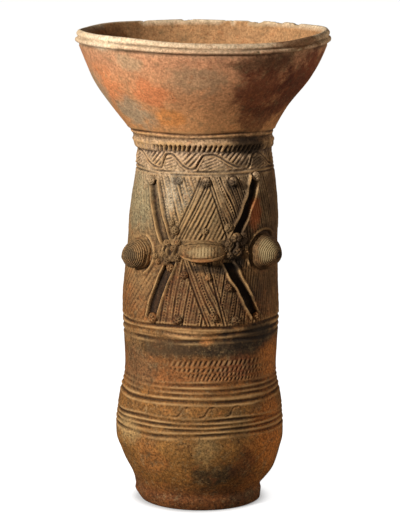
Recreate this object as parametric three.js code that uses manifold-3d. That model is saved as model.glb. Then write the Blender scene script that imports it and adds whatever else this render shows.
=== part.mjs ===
// Pedestal vase of fired clay, built by hand in one piece: a low foot, a swelling belly, a tall
// hollow shaft and a wide flaring bowl. Applied to the shaft are a notched cord, crossed troughs,
// bosses and pellets. Millimetres, +Z up. The origin is the middle of the underside, below the
// middle of the mouth. The front, with the crossed troughs, faces -Y, and angles turn from there
// towards +X.

import * as THREE from "three";
import { mergeVertices } from "three/addons/utils/BufferGeometryUtils.js";
import Module from "manifold-3d";

// Heights, stacked from the ground up
const FOOT_HEIGHT = 16;
const BELLY_BELOW = 50;
const BELLY_ABOVE = 64;
const SHAFT_BELOW = 57;
const SHAFT_ABOVE = 152;
const COLLAR_HEIGHT = 18;
const BOWL_HEIGHT = 81;
const LIP_HEIGHT = 12;

// Radii of the outside
const SEAT_RADIUS = 57;
const FOOT_RADIUS = 60.2;
const FOOT_NIP_RADIUS = 60;
const BELLY_RADIUS = 80.2;
const WAIST_RADIUS = 72;
const SHAFT_RADIUS = 74.2;
const SHOULDER_RADIUS = 69.7;
const NECK_RADIUS = 62.9;
const COLLAR_RADIUS = 64;
const BOWL_ROOT_RADIUS = 68.5;
const BOWL_RADIUS = 117.5;
const LIP_RADIUS = 120;

// How far the middle strays to +X, because the vase was built by hand
const FOOT_DRIFT = -4.6;
const BELLY_ROOT_DRIFT = -2;
const BELLY_DRIFT = -3.6;
const WAIST_DRIFT = -2.3;
const SHAFT_DRIFT = -1.9;
const SHOULDER_DRIFT = 1.6;
const NECK_DRIFT = 0.9;
const BOWL_ROOT_DRIFT = -1;
const BOWL_DRIFT = -3;

// Clay thickness, and the hollow under the foot
const WALL = 7;
const FLOOR = 14;
const FOOT_HOLLOW_DEPTH = 4;
const FOOT_HOLLOW_RADIUS = 44;

// Turned grooves: three sets below the panel, and single ones above it
const GROOVE_WIDTH = 3;
const GROOVE_DEPTH = 1.4;
const PANEL_SET = { count: 3, drop: 0, pitch: 6.6 };
const WAIST_SET = { count: 4, drop: 54, pitch: 5 };
const BELLY_SET = { count: 4, drop: 86, pitch: 4.7 };

// The frieze under the cord, and the panel under the frieze
const FRIEZE_HEIGHT = 17;
const PANEL_HEIGHT = 143;

// The notched cord round the neck
const CORD_STANDS = 4.2;
const CORD_WIDTH = 8;
const CORD_RISE = 5;
const CORD_PITCH = 4.7;
const CORD_NOTCH = 1.8;

// The crossed troughs, as angles from the front and distances from the panel's edges and middle
const TROUGH_WIDTH = 11;
const TROUGH_RIDGE = 1.7;
const TROUGH_DEPTH = 1.6;
const TROUGH_BOW = 1;
const TROUGH_INSET = 12;
const TROUGH_GAP = 11;
const TROUGHS = [
  { outer: -46, inner: -29, side: 1 },
  { outer: 42, inner: 25, side: 1 },
  { outer: -38, inner: -25, side: -1 },
  { outer: 42, inner: 19, side: -1 },
];

// The eye-shaped boss in the middle of the cross
const EYE_ANGLE = -0.5;
const EYE_LENGTH = 46;
const EYE_HEIGHT = 19;
const EYE_STANDS = 9;
const EYE_LID = 2.2;

// The coiled bosses at the sides
const BOSS_ANGLES = [-55, 53];
const BOSS_DROP = 3.5;
const BOSS_RADIUS = 15;
const BOSS_STANDS = 18.5;
const BOSS_COILS = 3;
const BOSS_NIPPLE = 3;
const BROW_GAP = 6;
const BROW_RADIUS = 1.6;
const BROW_LEAN = 25;

// The pellets: rows across the panel, one at each trough's outer end, and a knot at each inner end
const PELLET_RADIUS = 3.6;
const PELLET_INSET = 8;
const PELLET_GAP = 21;
const PELLET_ROWS = [
  { side: 1, from: "edge", angles: [-21, 1, 23] },
  { side: 1, from: "middle", angles: [-23, 1, 19] },
  { side: -1, from: "middle", angles: [-13, 5, 20] },
  { side: -1, from: "edge", angles: [-17, 9, 26] },
];
const KNOTS = [-23, 26];
const KNOT_RADIUS = 8;
const KNOT_PELLETS = 5;

// Chips out of the lip: angle from the front and size
const CHIPS = [
  { angle: -78, size: 4.5 },
  { angle: -61, size: 3.5 },
  { angle: -36, size: 3 },
  { angle: 129, size: 5 },
  { angle: 150, size: 6 },
  { angle: 163, size: 4 },
];

// Fineness of the faceted surface
const TURNS = 36;
const BOSS_TURNS = 12;
const ROD_SIDES = 5;
const TROUGH_STEPS = 3;
const ROD_STEPS = 4;
const PLAIN_STEP = 16;
const PANEL_STEP = 36;

const wasm = await Module();
wasm.setup();

const rad = THREE.MathUtils.degToRad;

// Heights of the landmarks
const bellyZ = FOOT_HEIGHT + BELLY_BELOW;
const waistZ = bellyZ + BELLY_ABOVE;
const shaftZ = waistZ + SHAFT_BELOW;
const neckZ = shaftZ + SHAFT_ABOVE;
const bowlZ = neckZ + COLLAR_HEIGHT;
const lipZ = bowlZ + BOWL_HEIGHT;
const topZ = lipZ + LIP_HEIGHT;
const panelTop = neckZ - FRIEZE_HEIGHT;
const panelBottom = panelTop - PANEL_HEIGHT;
const panelMiddle = (panelTop + panelBottom) / 2;
const shoulderZ = neckZ - SHAFT_ABOVE * 0.37;

// A smooth line through points of [height, value], read at any height
function lineThrough(points) {
  const curve = new THREE.SplineCurve(points.map(([z, value]) => new THREE.Vector2(z, value)));
  const samples = curve.getPoints(points.length * 24);
  return (z) => {
    const next = samples.findIndex((sample) => sample.x >= z);
    if (next <= 0) return next === 0 ? samples[0].y : samples.at(-1).y;
    const [low, high] = [samples[next - 1], samples[next]];
    return low.y + ((high.y - low.y) * (z - low.x)) / (high.x - low.x);
  };
}

const outerRadius = lineThrough([
  [0, SEAT_RADIUS],
  [FOOT_HEIGHT * 0.55, FOOT_RADIUS],
  [FOOT_HEIGHT, FOOT_NIP_RADIUS],
  [FOOT_HEIGHT + BELLY_BELOW * 0.36, (FOOT_NIP_RADIUS + BELLY_RADIUS) / 2],
  [FOOT_HEIGHT + BELLY_BELOW * 0.7, BELLY_RADIUS - 3.6],
  [bellyZ, BELLY_RADIUS],
  [bellyZ + BELLY_ABOVE * 0.5, (BELLY_RADIUS + WAIST_RADIUS) / 2 + 1.7],
  [waistZ, WAIST_RADIUS],
  [shaftZ, SHAFT_RADIUS],
  [shaftZ + SHAFT_ABOVE * 0.4, SHOULDER_RADIUS + 1.2],
  [shoulderZ, SHOULDER_RADIUS],
  [neckZ, NECK_RADIUS],
  [bowlZ - COLLAR_HEIGHT / 2, COLLAR_RADIUS],
  [bowlZ, BOWL_ROOT_RADIUS],
  [bowlZ + BOWL_HEIGHT * 0.25, BOWL_ROOT_RADIUS + (BOWL_RADIUS - BOWL_ROOT_RADIUS) * 0.28],
  [bowlZ + BOWL_HEIGHT * 0.6, BOWL_ROOT_RADIUS + (BOWL_RADIUS - BOWL_ROOT_RADIUS) * 0.7],
  [lipZ, BOWL_RADIUS],
]);

const drift = lineThrough([
  [0, FOOT_DRIFT],
  [FOOT_HEIGHT * 1.4, FOOT_DRIFT],
  [FOOT_HEIGHT + BELLY_BELOW * 0.6, BELLY_ROOT_DRIFT],
  [bellyZ + BELLY_ABOVE * 0.13, BELLY_DRIFT],
  [waistZ, WAIST_DRIFT],
  [shaftZ + SHAFT_ABOVE * 0.2, SHAFT_DRIFT],
  [shaftZ + SHAFT_ABOVE * 0.75, SHOULDER_DRIFT],
  [neckZ, NECK_DRIFT],
  [bowlZ, BOWL_ROOT_DRIFT],
  [bowlZ + BOWL_HEIGHT * 0.3, BOWL_DRIFT],
  [bowlZ + BOWL_HEIGHT * 0.75, 0],
  [lipZ, 0],
  [topZ, 0],
]);

// A point at an angle from the front, at a height, standing out from the outside
function onShaft(angle, z, out = 0) {
  const radius = outerRadius(z) + out;
  return new THREE.Vector3(
    radius * Math.sin(rad(angle)) + drift(z),
    -radius * Math.cos(rad(angle)),
    z,
  );
}

// A closed mesh as a solid: position alone, shared corners merged, triangles of no area dropped
function solid(geometry) {
  geometry.deleteAttribute("normal");
  geometry.deleteAttribute("uv");
  const merged = mergeVertices(geometry, 1e-4);
  const corners = merged.index.array;
  const kept = [];
  for (let i = 0; i < corners.length; i += 3) {
    const [a, b, c] = corners.slice(i, i + 3);
    if (a !== b && b !== c && c !== a) kept.push(a, b, c);
  }
  return new wasm.Manifold(
    new wasm.Mesh({
      numProp: 3,
      vertProperties: new Float32Array(merged.attributes.position.array),
      triVerts: new Uint32Array(kept),
    }),
  );
}

function geometryOf(manifold) {
  const mesh = manifold.getMesh();
  const geometry = new THREE.BufferGeometry();
  geometry.setAttribute("position", new THREE.BufferAttribute(mesh.vertProperties, 3));
  geometry.setIndex(new THREE.BufferAttribute(mesh.triVerts, 1));
  return geometry;
}

// A section of [radius, height] points turned about the Z axis
function turned(section, turns) {
  const points = section.map(([radius, z]) => new THREE.Vector2(radius, z));
  return new THREE.LatheGeometry(points, turns).rotateX(Math.PI / 2);
}

// Each corner of a turned shape moved over by the drift at its height
function strayed(geometry) {
  const position = geometry.attributes.position;
  for (let i = 0; i < position.count; i++) {
    position.setX(i, position.getX(i) + drift(position.getZ(i)));
  }
  return geometry;
}

// Each set of grooves as { low, pitch, count }, from the ground up
function grooveSets() {
  const single = { count: 1, pitch: GROOVE_WIDTH };
  const sets = [BELLY_SET, WAIST_SET, PANEL_SET].map(({ count, drop, pitch }) => ({
    count,
    pitch,
    low: panelBottom - drop - (count - 0.5) * pitch,
  }));
  const singles = [panelTop, bowlZ].map((z) => ({ ...single, low: z - GROOVE_WIDTH / 2 }));
  return [...sets, ...singles];
}

// The outside from the seat up to the lip: plain stretches, broken by V grooves
function outsideSection() {
  const points = [
    [SEAT_RADIUS, 0],
    [FOOT_RADIUS, FOOT_HEIGHT * 0.55],
    [FOOT_NIP_RADIUS, FOOT_HEIGHT],
  ];
  let z = FOOT_HEIGHT;
  const plainUpTo = (end) => {
    const inPanel = z >= panelBottom && end <= panelTop;
    const steps = Math.ceil((end - z) / (inPanel ? PANEL_STEP : PLAIN_STEP));
    for (let i = 1; i < steps; i++) {
      const height = z + ((end - z) * i) / steps;
      points.push([outerRadius(height), height]);
    }
    z = end;
  };
  for (const { low, pitch, count } of grooveSets()) {
    plainUpTo(low);
    points.push([outerRadius(low), low]);
    for (let i = 0; i < count; i++) {
      const bottom = low + (i + 0.5) * pitch;
      const ridge = low + (i + 1) * pitch;
      points.push([outerRadius(bottom) - GROOVE_DEPTH, bottom]);
      points.push([outerRadius(ridge), ridge]);
      z = ridge;
    }
  }
  plainUpTo(lipZ);
  return points;
}

// The stepped lip, from the undercut below it over the top to its inner edge
function lipSection() {
  return [
    [BOWL_RADIUS - 0.8, lipZ],
    [LIP_RADIUS, lipZ + LIP_HEIGHT * 0.3],
    [LIP_RADIUS - 1.8, lipZ + LIP_HEIGHT * 0.5],
    [LIP_RADIUS - 1.5, lipZ + LIP_HEIGHT * 0.7],
    [LIP_RADIUS - 4.5, topZ],
    [LIP_RADIUS - WALL, topZ - 1.5],
  ];
}

// The inside, a wall's thickness square to the outside
function innerRadius(z) {
  const slope = (outerRadius(z + 1) - outerRadius(z - 1)) / 2;
  return outerRadius(z) - WALL * Math.hypot(1, slope);
}

// The hollow, from the bowl down to the rounded floor
function insideSection() {
  const floorEdge = FLOOR + WALL;
  const heights = [
    lipZ,
    ...[0.7, 0.35].map((share) => bowlZ + BOWL_HEIGHT * share),
    bowlZ,
    neckZ + COLLAR_HEIGHT * 0.3,
    shoulderZ,
    shaftZ,
    waistZ,
    ...[0.4, -0.1].map((share) => bellyZ + BELLY_ABOVE * share),
    FOOT_HEIGHT + BELLY_BELOW * 0.4,
    floorEdge,
  ];
  const points = heights.map((z) => [innerRadius(z), z]);
  points.push([innerRadius(floorEdge) - WALL, FLOOR + WALL * 0.3]);
  points.push([0, FLOOR]);
  return points;
}

function vessel() {
  const section = [
    [0, FOOT_HOLLOW_DEPTH],
    [FOOT_HOLLOW_RADIUS - FOOT_HOLLOW_DEPTH, FOOT_HOLLOW_DEPTH],
    [FOOT_HOLLOW_RADIUS, 0],
    ...outsideSection(),
    ...lipSection(),
    ...insideSection(),
  ];
  return solid(strayed(turned(section, TURNS)));
}

// A cord round the neck, with a notch between each bead and the next. Its top runs on as a smooth
// shelf up to the groove at the bowl's root.
function notchedCord() {
  const middle = neckZ + CORD_RISE;
  const base = outerRadius(middle);
  const beads = Math.round((2 * Math.PI * base) / CORD_PITCH / 4) * 4;
  const inner = [base - WALL / 2, middle - CORD_WIDTH / 2];
  const section = [
    inner,
    [base + CORD_STANDS, middle + CORD_WIDTH * 0.15],
    [base + CORD_STANDS - 0.3, bowlZ - GROOVE_WIDTH * 0.8],
    inner,
  ];
  const geometry = turned(section, beads * 2);
  const position = geometry.attributes.position;
  for (let i = 0; i < position.count; i++) {
    const column = Math.floor(i / section.length);
    const radius = Math.hypot(position.getX(i), position.getY(i));
    const onBeads = position.getZ(i) < middle + CORD_WIDTH / 2;
    if (column % 2 === 1 && radius > base && onBeads) {
      const share = (radius - CORD_NOTCH) / radius;
      position.setX(i, position.getX(i) * share);
      position.setY(i, position.getY(i) * share);
    }
  }
  return solid(strayed(geometry));
}

// A rod of round section that follows points on the shaft, closed at both ends
function rod(points, radius, sides = ROD_SIDES, steps = ROD_STEPS) {
  const path = new THREE.CatmullRomCurve3(points);
  const section = new THREE.Shape(
    Array.from({ length: sides }, (_, i) => {
      const turn = (2 * Math.PI * i) / sides;
      return new THREE.Vector2(radius * Math.cos(turn), radius * Math.sin(turn));
    }),
  );
  return solid(new THREE.ExtrudeGeometry(section, { steps, extrudePath: path }));
}

// Points from one end of a trough to the other, moved sideways across it by so many millimetres
function alongTrough({ outer, inner, side }, across, out) {
  const far = side > 0 ? panelTop - TROUGH_INSET : panelBottom + TROUGH_INSET;
  const near = panelMiddle + side * TROUGH_GAP;
  const bow = Math.sign(inner - outer) * -TROUGH_BOW;
  return [0, 0.33, 0.67, 1].map((t) => {
    const z = far + (near - far) * t;
    const middle = outer + (inner - outer) * t + bow * Math.sin(Math.PI * t);
    const sideways = THREE.MathUtils.radToDeg(across / outerRadius(z));
    return onShaft(middle + sideways, z, out);
  });
}

function troughRidges() {
  const half = TROUGH_WIDTH / 2;
  return TROUGHS.flatMap((trough) =>
    [-half, half].map((across) =>
      rod(alongTrough(trough, across, 0.4), TROUGH_RIDGE, ROD_SIDES, TROUGH_STEPS),
    ),
  );
}

function troughCuts() {
  const cutter = TROUGH_WIDTH / 2 - TROUGH_RIDGE * 0.6;
  return TROUGHS.map((trough) =>
    rod(alongTrough(trough, 0, cutter - TROUGH_DEPTH), cutter, ROD_SIDES, TROUGH_STEPS),
  );
}

// Wraps a shape modelled about the origin, with +Z out of the wall, round the shaft. Its back
// goes no deeper than the middle of the wall.
function setOnShaft(geometry, angle, z) {
  const position = geometry.attributes.position;
  for (let i = 0; i < position.count; i++) {
    const sideways = THREE.MathUtils.radToDeg(position.getX(i) / outerRadius(z));
    const out = Math.max(position.getZ(i), -WALL / 2);
    const place = onShaft(angle + sideways, z + position.getY(i), out);
    position.setXYZ(i, place.x, place.y, place.z);
  }
  return solid(geometry);
}

// The eye: a lens that stands out of the wall, with a heavy lower lid
function eye() {
  const lens = new THREE.SphereGeometry(1, 12, 6);
  lens.scale(EYE_LENGTH / 2, EYE_HEIGHT / 2, EYE_STANDS);
  const lowerLid = [-0.4, -0.2, 0, 0.2, 0.4].map((share) => {
    const angle = EYE_ANGLE + THREE.MathUtils.radToDeg((share * EYE_LENGTH) / SHAFT_RADIUS);
    const sag = Math.cos(share * Math.PI);
    const z = panelMiddle - EYE_HEIGHT * (0.2 + 0.22 * sag);
    return onShaft(angle, z, EYE_STANDS * 0.8 * sag);
  });
  return [setOnShaft(lens, EYE_ANGLE, panelMiddle), rod(lowerLid, EYE_LID)];
}

// A coiled boss: steps that narrow to a nipple, and a brow arched over it that leans to the front
function sideBoss(angle) {
  const z = panelMiddle - BOSS_DROP;
  const section = [[0, -WALL / 2], [BOSS_RADIUS, -WALL / 2]];
  for (let i = 0; i < BOSS_COILS; i++) {
    const rise = (share) => BOSS_STANDS * (1 - BOSS_NIPPLE / BOSS_STANDS) * share;
    const radius = (share) => BOSS_RADIUS * Math.cos((share * Math.PI) / 2.35);
    const low = i / BOSS_COILS;
    const high = (i + 0.62) / BOSS_COILS;
    section.push([radius(low), rise(low)]);
    section.push([radius(high), rise(high)]);
  }
  section.push([BOSS_NIPPLE, BOSS_STANDS - BOSS_NIPPLE]);
  section.push([BOSS_NIPPLE * 0.8, BOSS_STANDS - BOSS_NIPPLE * 0.3]);
  section.push([0, BOSS_STANDS]);
  const cone = turned(section, BOSS_TURNS);
  const browRadius = BOSS_RADIUS + BROW_GAP;
  const lean = Math.sign(angle) * BROW_LEAN;
  const brow = [15, 45, 75, 105, 135, 165].map((turn) => {
    const height = z + browRadius * Math.sin(rad(turn + lean));
    const sideways = (browRadius * Math.cos(rad(turn + lean))) / outerRadius(height);
    return onShaft(angle + THREE.MathUtils.radToDeg(sideways), height, 0.4);
  });
  return [setOnShaft(cone, angle, z), rod(brow, BROW_RADIUS)];
}

function pellet(angle, z) {
  return setOnShaft(new THREE.IcosahedronGeometry(PELLET_RADIUS, 0), angle, z);
}

function pelletPlaces() {
  const rows = PELLET_ROWS.flatMap(({ side, from, angles }) => {
    const edge = side > 0 ? panelTop : panelBottom;
    const z = from === "edge" ? edge - side * PELLET_INSET : panelMiddle + side * PELLET_GAP;
    return angles.map((angle) => [angle, z]);
  });
  const ends = TROUGHS.map(({ outer, side }) => [
    outer,
    (side > 0 ? panelTop : panelBottom) - side * PELLET_INSET,
  ]);
  const knots = KNOTS.flatMap((middle) =>
    Array.from({ length: KNOT_PELLETS }, (_, i) => {
      const turn = (2 * Math.PI * i) / KNOT_PELLETS;
      const sideways = THREE.MathUtils.radToDeg((KNOT_RADIUS * Math.sin(turn)) / SHAFT_RADIUS);
      return [middle + sideways, panelMiddle + KNOT_RADIUS * Math.cos(turn)];
    }),
  );
  return [...rows, ...ends, ...knots];
}

// Lumps of the size of each chip, half sunk in the lip's outer edge
function chips() {
  return CHIPS.map(({ angle, size }) => {
    const lump = new THREE.IcosahedronGeometry(size, 0).scale(2.2, 0.8, 0.7);
    lump.rotateZ(rad(angle));
    const radius = LIP_RADIUS - 3;
    return solid(
      lump.translate(radius * Math.sin(rad(angle)), -radius * Math.cos(rad(angle)), topZ),
    );
  });
}

function vase() {
  let clay = vessel().add(notchedCord());
  const applied = [
    ...troughRidges(),
    ...BOSS_ANGLES.flatMap(sideBoss),
    ...pelletPlaces().map(([angle, z]) => pellet(angle, z)),
    ...eye(),
  ];
  for (const cut of troughCuts()) clay = clay.subtract(cut);
  for (const piece of applied) clay = clay.add(piece);
  for (const chip of chips()) clay = clay.subtract(chip);
  return clay;
}

const firedClay = new THREE.MeshStandardMaterial({
  color: 0x94643e,
  roughness: 0.85,
  metalness: 0,
});

const body = new THREE.Mesh(geometryOf(vase()), firedClay);
body.name = "vase";

const pedestalVase = new THREE.Group();
pedestalVase.add(body);

export default pedestalVase;
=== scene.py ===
import math

import bpy
import numpy as np
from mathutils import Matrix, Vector


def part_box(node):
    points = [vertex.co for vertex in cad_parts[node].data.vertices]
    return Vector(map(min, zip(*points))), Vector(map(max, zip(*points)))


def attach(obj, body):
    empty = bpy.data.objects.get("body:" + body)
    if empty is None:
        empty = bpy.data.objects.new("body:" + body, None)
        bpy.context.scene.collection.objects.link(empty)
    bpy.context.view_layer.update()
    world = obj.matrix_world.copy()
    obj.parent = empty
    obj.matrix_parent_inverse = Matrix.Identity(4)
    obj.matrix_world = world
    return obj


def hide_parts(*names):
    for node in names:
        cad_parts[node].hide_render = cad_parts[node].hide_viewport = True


# Pedestal vase of fired clay: the carved wall, what is pressed on it, and its stained surface.
# Lengths are in millimetres until a mesh is finished. Angles are in degrees from the front, which
# faces -Y, towards +X.

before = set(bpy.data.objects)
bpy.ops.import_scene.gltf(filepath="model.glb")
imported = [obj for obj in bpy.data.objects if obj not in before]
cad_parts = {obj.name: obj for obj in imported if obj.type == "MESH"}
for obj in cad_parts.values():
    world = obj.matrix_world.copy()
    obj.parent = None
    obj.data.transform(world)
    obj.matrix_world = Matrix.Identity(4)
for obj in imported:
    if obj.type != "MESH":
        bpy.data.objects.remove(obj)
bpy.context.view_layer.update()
foot_corner, lip_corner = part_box("vase")
MM = 0.001
TOP = lip_corner.z / MM
LIP_RADIUS = (lip_corner.x - foot_corner.x) / MM / 2

# Heights, stacked from the ground up
FOOT_HEIGHT = 16
BELLY_BELOW = 50
BELLY_ABOVE = 64
SHAFT_BELOW = 57
SHAFT_ABOVE = 152
COLLAR_HEIGHT = 18
BOWL_HEIGHT = 81

# Radii of the outside
SEAT_RADIUS = 57
FOOT_RADIUS = 60.2
FOOT_NIP_RADIUS = 60
BELLY_RADIUS = 80.2
WAIST_RADIUS = 72
SHAFT_RADIUS = 74.2
SHOULDER_RADIUS = 69.7
NECK_RADIUS = 62.9
COLLAR_RADIUS = 64
BOWL_ROOT_RADIUS = 68.5
BOWL_RADIUS = 117.5

# How far the middle strays to +X
FOOT_DRIFT = -4.6
BELLY_ROOT_DRIFT = -1.1
BELLY_DRIFT = -3.6
WAIST_DRIFT = -2.3
SHAFT_DRIFT = -1.9
SHOULDER_DRIFT = 1.6
NECK_DRIFT = 0.9
BOWL_ROOT_DRIFT = -1
BOWL_DRIFT = -3

# Clay thickness, and the hollow under the foot
WALL = 7
FLOOR = 14
FOOT_HOLLOW_DEPTH = 4
FOOT_HOLLOW_RADIUS = 44

# The frieze under the cord, and the panel under the frieze
FRIEZE_HEIGHT = 17
PANEL_HEIGHT = 143

belly_z = FOOT_HEIGHT + BELLY_BELOW
waist_z = belly_z + BELLY_ABOVE
shaft_z = waist_z + SHAFT_BELOW
neck_z = shaft_z + SHAFT_ABOVE
bowl_z = neck_z + COLLAR_HEIGHT
lip_z = bowl_z + BOWL_HEIGHT
panel_top = neck_z - FRIEZE_HEIGHT
panel_bottom = panel_top - PANEL_HEIGHT
panel_middle = (panel_top + panel_bottom) / 2
shoulder_z = neck_z - SHAFT_ABOVE * 0.37

# Fineness of the wall, before it is thinned
TURNS = 760
CARVED_STEP = 0.6
PLAIN_STEP = 2.2
INSIDE_STEP = 9
WALL_TRIANGLES = 186_000
CANVAS_STEP = 0.5
CANVAS_COLUMNS = 960


def smooth_line(points):
    """A smooth line through (height, value) points, read at any height."""
    knots = np.array([points[0], *points, points[-1]], float)
    share = np.linspace(0, 1, 25)[:, None]
    pieces = []
    for p0, p1, p2, p3 in zip(knots, knots[1:], knots[2:], knots[3:]):
        slope0 = (p2 - p0) / 2
        slope1 = (p3 - p1) / 2
        pieces.append(
            (2 * p1 - 2 * p2 + slope0 + slope1) * share**3
            + (-3 * p1 + 3 * p2 - 2 * slope0 - slope1) * share**2
            + slope0 * share
            + p1
        )
    heights, values = np.concatenate(pieces).T
    return lambda z: np.interp(z, heights, values)


outer_radius = smooth_line([
    (0, SEAT_RADIUS),
    (FOOT_HEIGHT * 0.55, FOOT_RADIUS),
    (FOOT_HEIGHT, FOOT_NIP_RADIUS),
    (FOOT_HEIGHT + BELLY_BELOW * 0.36, (FOOT_NIP_RADIUS + BELLY_RADIUS) / 2),
    (FOOT_HEIGHT + BELLY_BELOW * 0.7, BELLY_RADIUS - 3.6),
    (belly_z, BELLY_RADIUS),
    (belly_z + BELLY_ABOVE * 0.5, (BELLY_RADIUS + WAIST_RADIUS) / 2 + 1.7),
    (waist_z, WAIST_RADIUS),
    (shaft_z, SHAFT_RADIUS),
    (shaft_z + SHAFT_ABOVE * 0.4, SHOULDER_RADIUS + 1.2),
    (shoulder_z, SHOULDER_RADIUS),
    (neck_z, NECK_RADIUS),
    (bowl_z - COLLAR_HEIGHT / 2, COLLAR_RADIUS),
    (bowl_z, BOWL_ROOT_RADIUS),
    (bowl_z + BOWL_HEIGHT * 0.25, BOWL_ROOT_RADIUS + (BOWL_RADIUS - BOWL_ROOT_RADIUS) * 0.28),
    (bowl_z + BOWL_HEIGHT * 0.6, BOWL_ROOT_RADIUS + (BOWL_RADIUS - BOWL_ROOT_RADIUS) * 0.7),
    (lip_z, BOWL_RADIUS),
])

drift = smooth_line([
    (0, FOOT_DRIFT + 2.2),
    (FOOT_HEIGHT * 0.5, FOOT_DRIFT + 0.3),
    (FOOT_HEIGHT, FOOT_DRIFT + 0.2),
    (FOOT_HEIGHT + BELLY_BELOW * 0.15, BELLY_ROOT_DRIFT - 1),
    (FOOT_HEIGHT + BELLY_BELOW * 0.32, BELLY_ROOT_DRIFT),
    (FOOT_HEIGHT + BELLY_BELOW * 0.6, BELLY_DRIFT + 1.5),
    (belly_z + BELLY_ABOVE * 0.13, BELLY_DRIFT),
    (waist_z, WAIST_DRIFT),
    (shaft_z + SHAFT_ABOVE * 0.2, SHAFT_DRIFT),
    (shaft_z + SHAFT_ABOVE * 0.75, SHOULDER_DRIFT),
    (neck_z, NECK_DRIFT),
    (bowl_z, BOWL_ROOT_DRIFT),
    (bowl_z + BOWL_HEIGHT * 0.3, BOWL_DRIFT),
    (bowl_z + BOWL_HEIGHT * 0.75, 0),
    (lip_z, 0),
    (TOP, 0),
])


def inner_radius(z):
    """The inside, a wall's thickness square to the outside."""
    slope = (outer_radius(z + 1) - outer_radius(z - 1)) / 2
    return outer_radius(z) - WALL * np.hypot(1, slope)


def on_shaft(angle, z, out=0.0):
    """Points in millimetres at an angle from the front, at a height, standing out of the wall."""
    radius = outer_radius(z) + out
    turn = np.radians(angle)
    return np.stack([radius * np.sin(turn) + drift(z), -radius * np.cos(turn), z + 0 * turn], -1)


def ramp(value, low, high):
    """From 0 at low to 1 at high, eased at both ends."""
    share = np.clip((value - low) / (high - low), 0, 1)
    return share * share * (3 - 2 * share)


def band(value, low, high, soft):
    """1 between low and high, easing to 0 over a distance outside them."""
    return ramp(value, low - soft, low) * (1 - ramp(value, high, high + soft))


def wander(angles, heights, seed, turns=(1, 6), reach=150.0, waves=6):
    """Uneven values, about -1 to 1, that join up all the way round."""
    dice = np.random.default_rng(seed)
    total = 0
    for _ in range(waves):
        around = dice.integers(turns[0], turns[1] + 1)
        along = dice.uniform(-1, 1) * 2 * math.pi / reach
        total = total + np.sin(np.radians(angles) * around + heights * along + dice.uniform(0, 7))
    return total / math.sqrt(waves)


# What is carved and pressed on the outside, worked out on a canvas wrapped round the vase: a row
# for each half millimetre of height and a column for each angle. Its values are millimetres out
# of the smooth outside.
canvas_heights = np.arange(0, TOP + CANVAS_STEP, CANVAS_STEP)
canvas_angles = np.linspace(-180, 180, CANVAS_COLUMNS, endpoint=False)
ANGLE, HEIGHT = np.meshgrid(canvas_angles, canvas_heights)
SPREAD_RADIUS = 71
ALONG = np.radians(ANGLE) * SPREAD_RADIUS


def arc(angle):
    """Millimetres along the shaft from the front."""
    return math.radians(angle) * SPREAD_RADIUS


def cut(distance, width, depth, burr=0.25):
    """A tooled line: a rounded groove with a little clay pushed up beside it."""
    half = width / 2
    groove = -depth * np.exp(-((distance / half) ** 2))
    pushed = burr * depth * np.exp(-(((np.abs(distance) - half * 1.9) / (half * 0.7)) ** 2))
    return groove + pushed


def stripes(place, pitch):
    """Distance from the nearest of many evenly pitched lines."""
    return (np.abs((place / pitch) % 1 - 0.5) - 0.5) * -pitch


def leaning(lean):
    """Sideways place, in mm, measured square to lines that lean by so many degrees from upright."""
    turn = math.radians(lean)
    return ALONG * math.cos(turn) - (HEIGHT - panel_middle) * math.sin(turn)


def lengthways(lean):
    """Place along lines that lean by so many degrees from upright."""
    turn = math.radians(lean)
    return ALONG * math.sin(turn) + HEIGHT * math.cos(turn)


# Turned grooves: height, width and depth. The lower ones are given by how far they lie below the
# panel's bottom.
LOWER_GROOVES = [
    (0, 2.6, 1.4), (6.2, 2.6, 1.0), (12.6, 2.8, 0.9),
    (55.2, 2.8, 0.9), (60, 2.8, 1.0), (64.6, 2.8, 1.0), (70.4, 3.0, 1.4),
    (88, 2.8, 1.2), (92, 2.6, 1.1), (96.4, 2.6, 1.0), (102, 2.8, 1.2),
]
TURNED_GROOVES = [
    (bowl_z, 2.4, 1.4),
    (bowl_z - 4, 2.2, 0.4),
    (panel_top + 1.5, 1.9, 1.0),
    (panel_top - 1.8, 1.9, 0.9),
    *((panel_bottom - drop, width, depth) for drop, width, depth in LOWER_GROOVES),
]
GROOVE_SWAY = 0.7
COLLAR_LIFT = 1.3
RUBBED_LOW = panel_bottom - 68
RUBBED_HIGH = panel_bottom - 50
FRONT = np.clip(np.cos(np.radians(ANGLE)), 0, 1)


def turned_grooves():
    rubbed = 1 - 0.6 * band(ANGLE, -75, -34, 22)
    total = 0
    for i, (z, width, depth) in enumerate(TURNED_GROOVES):
        sway = GROOVE_SWAY * wander(ANGLE, 0, 40 + i, turns=(1, 5), waves=4)
        fade = 0.75 + 0.3 * wander(ANGLE, 0, 80 + i, turns=(2, 11), waves=5)
        if z > neck_z:
            sway = sway + COLLAR_LIFT * FRONT
        if RUBBED_LOW < z < RUBBED_HIGH:
            fade = fade * rubbed
        total = total + np.clip(fade, 0.2, 1.1) * cut(HEIGHT - z - sway, width, depth, 0.35)
    return total


# The notched cord round the neck
CORD_BEADS = 86
CORD_LOW = neck_z - 0.4
CORD_RISE = [0, 2.2, 3.3, 3.7, 3.1, 0.9, 0.1, 0]
CORD_AT = [0, 1.0, 3.0, 6.2, 8.2, 11.2, 13.0, 14.5]
CORD_LIFT = 2.8
NOTCH_LEAN = 24


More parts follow.
